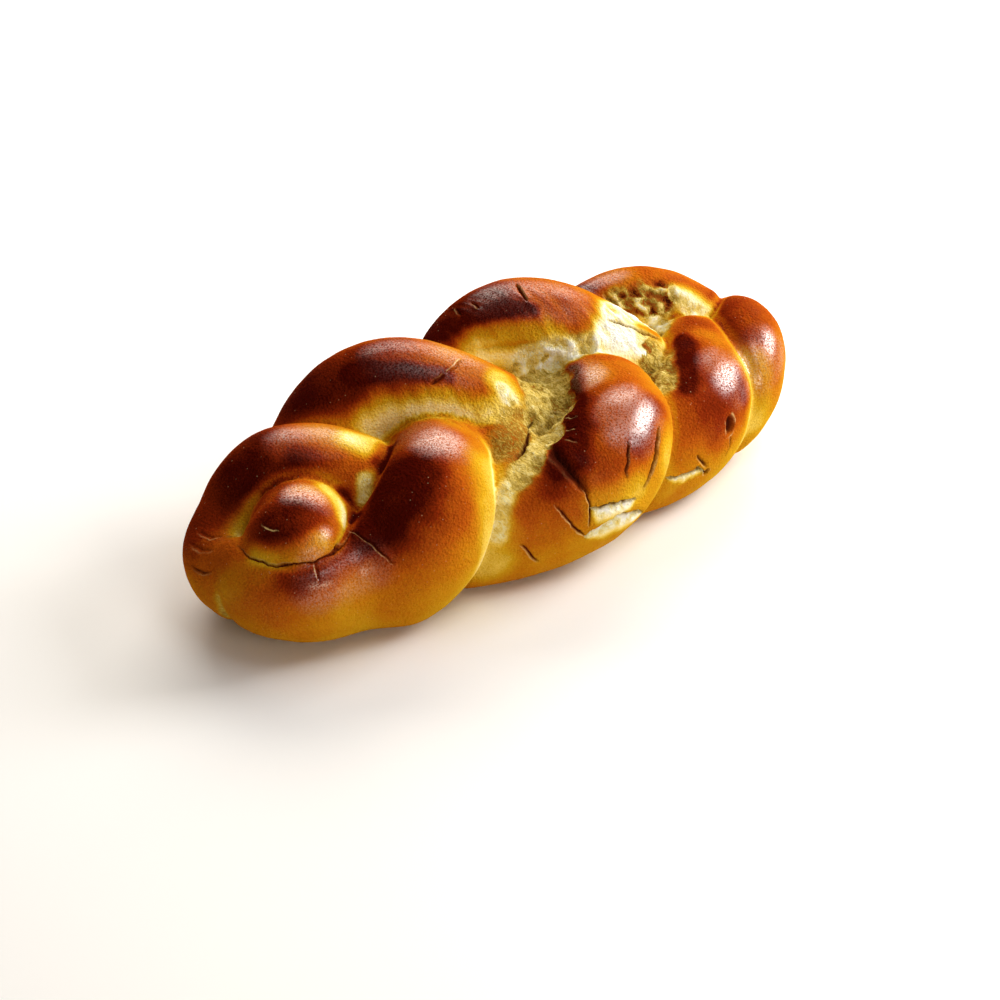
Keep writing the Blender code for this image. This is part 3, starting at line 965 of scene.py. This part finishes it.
def maths(tree, operation, *values, clamp=False):
    made = node(tree, "ShaderNodeMath", operation=operation, use_clamp=clamp)
    for index, value in enumerate(values):
        if isinstance(value, (int, float)):
            made.inputs[index].default_value = value
        else:
            tree.links.new(value, made.inputs[index])
    return made.outputs[0]


def ramp(tree, value, stops):
    made = tree.nodes.new("ShaderNodeValToRGB")
    elements = made.color_ramp.elements
    while len(elements) < len(stops):
        elements.new(0.5)
    for element, (position, colour) in zip(elements, stops):
        element.position = position
        element.color = (*colour, 1)
    tree.links.new(value, made.inputs["Fac"])
    return made.outputs["Color"]


def mixColour(tree, share, first, second):
    made = node(tree, "ShaderNodeMix", data_type="RGBA")
    for index, value in ((0, share), (6, first), (7, second)):
        if isinstance(value, tuple):
            made.inputs[index].default_value = (*value, 1)
        else:
            tree.links.new(value, made.inputs[index])
    return made.outputs[2]


def noiseNode(tree, vector, settings, scale=None):
    made = node(tree, "ShaderNodeTexNoise", **settings)
    tree.links.new(vector, made.inputs["Vector"])
    if scale is not None:
        tree.links.new(scale, made.inputs["Scale"])
    return made.outputs["Fac"]


def bumpNode(tree, height, settings, below=None):
    strength, distance = settings
    made = node(tree, "ShaderNodeBump", Strength=strength, Distance=distance)
    tree.links.new(height, made.inputs["Height"])
    if below is not None:
        tree.links.new(below, made.inputs["Normal"])
    return made.outputs["Normal"]


def aboutZero(tree, value, amount):
    return maths(tree, "MULTIPLY", maths(tree, "SUBTRACT", value, 0.5), amount)


# pebbled and finely wrinkled skin: scales are in features for each metre
pebbling = {
    "smoothness": 0.6,
    "bendScale": 260.0,
    "bend": (0.0016, 0.0016, 0.0016),
    "grain": {"Detail": 3.0},
    "beads": {"Detail": 2.0, "Roughness": 0.6},
    "beadsFrom": 0.38,
    "beadsSlope": 3.6,
}


def skinGroup():
    inputs = [
        ("Vector", "NodeSocketVector", None),
        ("Pebble Scale", "NodeSocketFloat", 900.0),
        ("Grain Scale", "NodeSocketFloat", 1700.0),
        ("Bead Scale", "NodeSocketFloat", 1500.0),
    ]
    outputs = [(label, "NodeSocketFloat") for label in ("Pebbles", "Grain", "Beads")]
    group, given, result = newGroup("skinRelief", inputs, outputs)
    link = group.links.new
    place = given.outputs["Vector"]
    bend = node(group, "ShaderNodeTexNoise", Scale=pebbling["bendScale"])
    bent = node(group, "ShaderNodeVectorMath", operation="MULTIPLY_ADD")
    bent.inputs[1].default_value = pebbling["bend"]
    link(place, bend.inputs["Vector"])
    link(bend.outputs["Color"], bent.inputs[0])
    link(place, bent.inputs[2])
    pebble = node(group, "ShaderNodeTexVoronoi", feature="SMOOTH_F1", Smoothness=pebbling["smoothness"])
    link(bent.outputs[0], pebble.inputs["Vector"])
    link(given.outputs["Pebble Scale"], pebble.inputs["Scale"])
    link(pebble.outputs["Distance"], result.inputs["Pebbles"])
    grainy = noiseNode(group, place, pebbling["grain"], given.outputs["Grain Scale"])
    link(grainy, result.inputs["Grain"])
    beads = noiseNode(group, place, pebbling["beads"], given.outputs["Bead Scale"])
    beads = maths(group, "SUBTRACT", beads, pebbling["beadsFrom"])
    beads = maths(group, "MULTIPLY", beads, pebbling["beadsSlope"], clamp=True)
    link(beads, result.inputs["Beads"])
    return group


# pale dots strewn over the crust: how small they are, and how many cells stay without
flecking = {"smallness": 8.0, "bareCells": 0.45}


def speckGroup():
    inputs = [("Vector", "NodeSocketVector", None), ("Scale", "NodeSocketFloat", 360.0)]
    group, given, result = newGroup("flourSpecks", inputs, [("Specks", "NodeSocketFloat")])
    cells = group.nodes.new("ShaderNodeTexVoronoi")
    group.links.new(given.outputs["Vector"], cells.inputs["Vector"])
    group.links.new(given.outputs["Scale"], cells.inputs["Scale"])
    out = maths(group, "MULTIPLY", cells.outputs["Distance"], flecking["smallness"])
    dot = maths(group, "SUBTRACT", 1.0, out, clamp=True)
    split = group.nodes.new("ShaderNodeSeparateColor")
    group.links.new(cells.outputs["Color"], split.inputs["Color"])
    chosen = maths(group, "GREATER_THAN", split.outputs[0], flecking["bareCells"])
    group.links.new(maths(group, "MULTIPLY", dot, chosen), result.inputs["Specks"])
    return group


crust = {
    "ramp": [
        (0.0, (0.95, 0.80, 0.38)),
        (0.15, (0.84, 0.60, 0.10)),
        (0.32, (0.61, 0.34, 0.012)),
        (0.50, (0.52, 0.185, 0.006)),
        (0.66, (0.42, 0.085, 0.005)),
        (0.82, (0.22, 0.022, 0.003)),
        (1.0, (0.055, 0.003, 0.001)),
    ],
    "crumbRamp": [
        (0.0, (1.0, 0.99, 0.92)),
        (0.12, (0.97, 0.90, 0.52)),
        (0.25, (0.90, 0.70, 0.20)),
        (0.40, (0.66, 0.45, 0.08)),
        (0.50, (0.37, 0.24, 0.036)),
        (0.62, (0.52, 0.17, 0.02)),
        (0.8, (0.36, 0.07, 0.01)),
        (1.0, (0.10, 0.015, 0.004)),
    ],
    # painted shade: the near-black of cracks, slits and hollows
    "inside": (0.07, 0.010, 0.004),
    # pale crack and hollow edges: partly pale dough, partly painted highlight
    "lip": (0.88, 0.66, 0.26),
    "speck": (0.80, 0.58, 0.34),
    "speckShare": 0.5,
    "mottle": {"Scale": 90.0, "Detail": 4.0, "Roughness": 0.6},
    "mottling": 0.2,
    "speckle": {"Scale": 1500.0, "Detail": 2.0, "Roughness": 0.7},
    "speckling": 0.24,
    "pores": {"Scale": 800.0, "Detail": 5.0, "Roughness": 0.68, "Distortion": 1.2},
    "poreRun": (1.0, 0.4, 0.7),
    "poreMiddle": 0.52,
    "coarseness": 0.4,  # of the whitest dough, and how much coarser the brown is
    "brownCoarseness": 1.8,
    "pebbleBump": (0.6, 0.001),
    "grainBump": (0.6, 0.0007),
    "crumbBump": (1.0, 0.0016),
    "roughness": 0.55,
    "crumbRoughness": 0.4,  # more than the crust's
    "specular": 0,
    "coatRoughness": 0.3,
    "coatIor": 2.1,
    "polish": 1.8,
    "beading": 1.95,
}


def crustMaterial():
    material = bpy.data.materials.new("bakedCrust")
    material.use_nodes = True
    tree = material.node_tree
    shader = tree.nodes["Principled BSDF"]
    place = tree.nodes.new("ShaderNodeTexCoord").outputs["Object"]
    given = {}
    for name in marks:
        given[name] = node(tree, "ShaderNodeAttribute", attribute_name=name).outputs["Fac"]
    relief = node(tree, "ShaderNodeGroup", node_tree=skinGroup())
    specks = node(tree, "ShaderNodeGroup", node_tree=speckGroup())
    tree.links.new(place, relief.inputs["Vector"])
    tree.links.new(place, specks.inputs["Vector"])

    mottle = aboutZero(tree, noiseNode(tree, place, crust["mottle"]), crust["mottling"])
    speckle = aboutZero(tree, noiseNode(tree, place, crust["speckle"]), crust["speckling"])
    baked = maths(tree, "ADD", maths(tree, "ADD", given["bake"], mottle), speckle, clamp=True)
    colour = ramp(tree, baked, crust["ramp"])
    dots = maths(tree, "MULTIPLY", given["bake"], crust["speckShare"])
    dots = maths(tree, "MULTIPLY", specks.outputs["Specks"], dots)
    colour = mixColour(tree, dots, colour, crust["speck"])
    run = node(tree, "ShaderNodeVectorMath", operation="MULTIPLY")
    run.inputs[1].default_value = crust["poreRun"]
    tree.links.new(place, run.inputs[0])
    pores = noiseNode(tree, run.outputs[0], crust["pores"])
    coarse = maths(tree, "MULTIPLY_ADD", given["bake"], crust["brownCoarseness"], crust["coarseness"])
    uneven = maths(tree, "MULTIPLY", maths(tree, "SUBTRACT", crust["poreMiddle"], pores), coarse)
    tone = maths(tree, "ADD", given["bake"], uneven, clamp=True)
    colour = mixColour(tree, given["crumb"], colour, ramp(tree, tone, crust["crumbRamp"]))
    # pale crack and hollow edges, partly pale dough and partly painted highlight
    colour = mixColour(tree, given["lips"], colour, crust["lip"])
    # painted shade inside cracks, slits and hollows
    colour = mixColour(tree, given["inside"], colour, crust["inside"])
    tree.links.new(colour, shader.inputs["Base Color"])

    dull = maths(tree, "MAXIMUM", given["crumb"], given["inside"])
    rough = maths(tree, "MULTIPLY_ADD", dull, crust["crumbRoughness"], crust["roughness"])
    tree.links.new(rough, shader.inputs["Roughness"])
    gloss = maths(tree, "MULTIPLY", relief.outputs["Beads"], crust["beading"])
    gloss = maths(tree, "SUBTRACT", crust["polish"], gloss)
    shine = maths(tree, "MULTIPLY", given["shine"], gloss)
    shine = maths(tree, "SUBTRACT", shine, dull, clamp=True)
    tree.links.new(shine, shader.inputs["Coat Weight"])
    shader.inputs["Coat Roughness"].default_value = crust["coatRoughness"]
    shader.inputs["Coat IOR"].default_value = crust["coatIor"]
    shader.inputs["Specular IOR Level"].default_value = crust["specular"]

    normal = bumpNode(tree, relief.outputs["Pebbles"], crust["pebbleBump"])
    normal = bumpNode(tree, relief.outputs["Grain"], crust["grainBump"], normal)
    height = maths(tree, "MULTIPLY", maths(tree, "MULTIPLY", given["crumb"], pores), coarse)
    normal = bumpNode(tree, height, crust["crumbBump"], normal)
    tree.links.new(normal, shader.inputs["Normal"])
    return material


loaf.data.materials.append(crustMaterial())
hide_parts("braided_loaf")
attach(loaf, "root")
print("crust done")

studio = {
    "floor": (0.90, 0.91, 0.93),
    "floorRoughness": 0.8,
    "floorSize": 4,
    "sky": 0.18,
    "skyColour": (1.0, 0.95, 0.88),
    "aimHeight": 0.04,
    "lights": rowsOf("name azimuth elevation distance size power colour", [
        ("key", -22, 30, 0.95, (0.48, 0.42), 9.6, (1.0, 0.98, 0.94)),
        ("back", 48, 34, 1.2, (1.2, 0.8), 18, (1.0, 0.92, 0.80)),
        ("top", -75, 66, 1.0, (0.5, 0.5), 2.5, (1.0, 0.97, 0.92)),
        ("front", -97, 20, 1.0, (0.4, 0.3), 2.5, (1.0, 0.82, 0.58)),
    ]),
}


def makeFloor():
    bm = bmesh.new()
    bmesh.ops.create_grid(bm, x_segments=1, y_segments=1, size=studio["floorSize"])
    mesh = bpy.data.meshes.new("floor")
    bm.to_mesh(mesh)
    bm.free()
    floor = bpy.data.objects.new("floor", mesh)
    bpy.context.scene.collection.objects.link(floor)
    material = bpy.data.materials.new("paleFloor")
    material.use_nodes = True
    shader = material.node_tree.nodes["Principled BSDF"]
    shader.inputs["Base Color"].default_value = (*studio["floor"], 1)
    shader.inputs["Roughness"].default_value = studio["floorRoughness"]
    mesh.materials.append(material)


def aimed(thing, position, target):
    thing.location = position
    thing.rotation_euler = (target - position).to_track_quat("-Z", "Y").to_euler()


def around(middle, settings):
    # the place at that azimuth, elevation and distance from the middle
    azimuth, elevation = math.radians(settings["azimuth"]), math.radians(settings["elevation"])
    flat = math.cos(elevation)
    way = Vector((math.cos(azimuth) * flat, math.sin(azimuth) * flat, math.sin(elevation)))
    return middle + way * settings["distance"]


def makeLight(settings):
    light = bpy.data.lights.new(settings["name"], "AREA")
    light.shape = "RECTANGLE"
    light.size, light.size_y = settings["size"]
    light.energy = settings["power"]
    light.color = settings["colour"]
    lamp = bpy.data.objects.new(settings["name"], light)
    bpy.context.scene.collection.objects.link(lamp)
    middle = Vector((0, 0, studio["aimHeight"]))
    aimed(lamp, around(middle, settings), middle)


makeFloor()
for settings in studio["lights"]:
    makeLight(settings)
world = bpy.data.worlds.new("studio")
world.use_nodes = True
background = world.node_tree.nodes["Background"]
background.inputs["Color"].default_value = (*studio["skyColour"], 1)
background.inputs["Strength"].default_value = studio["sky"]
bpy.context.scene.world = world
bpy.context.scene.view_settings.view_transform = "Standard"

# the aim is in millimetres from the middle of the loaf's foot
view = {
    "azimuth": -132.5,
    "elevation": 33,
    "distance": 1.0,
    "lens": 87.84,
    "sensor": 36,
    "aim": (-13.6, -7.8, 14.2),
}
camera = bpy.data.cameras.new("camera")
camera.sensor_width = view["sensor"]
camera.lens = view["lens"]
cameraObject = bpy.data.objects.new("camera", camera)
bpy.context.scene.collection.objects.link(cameraObject)
aim = Vector(view["aim"]) * mm + Vector((*boxMiddle[:2], 0))
aimed(cameraObject, around(aim, view), aim)
bpy.context.scene.camera = cameraObject
print("studio done")
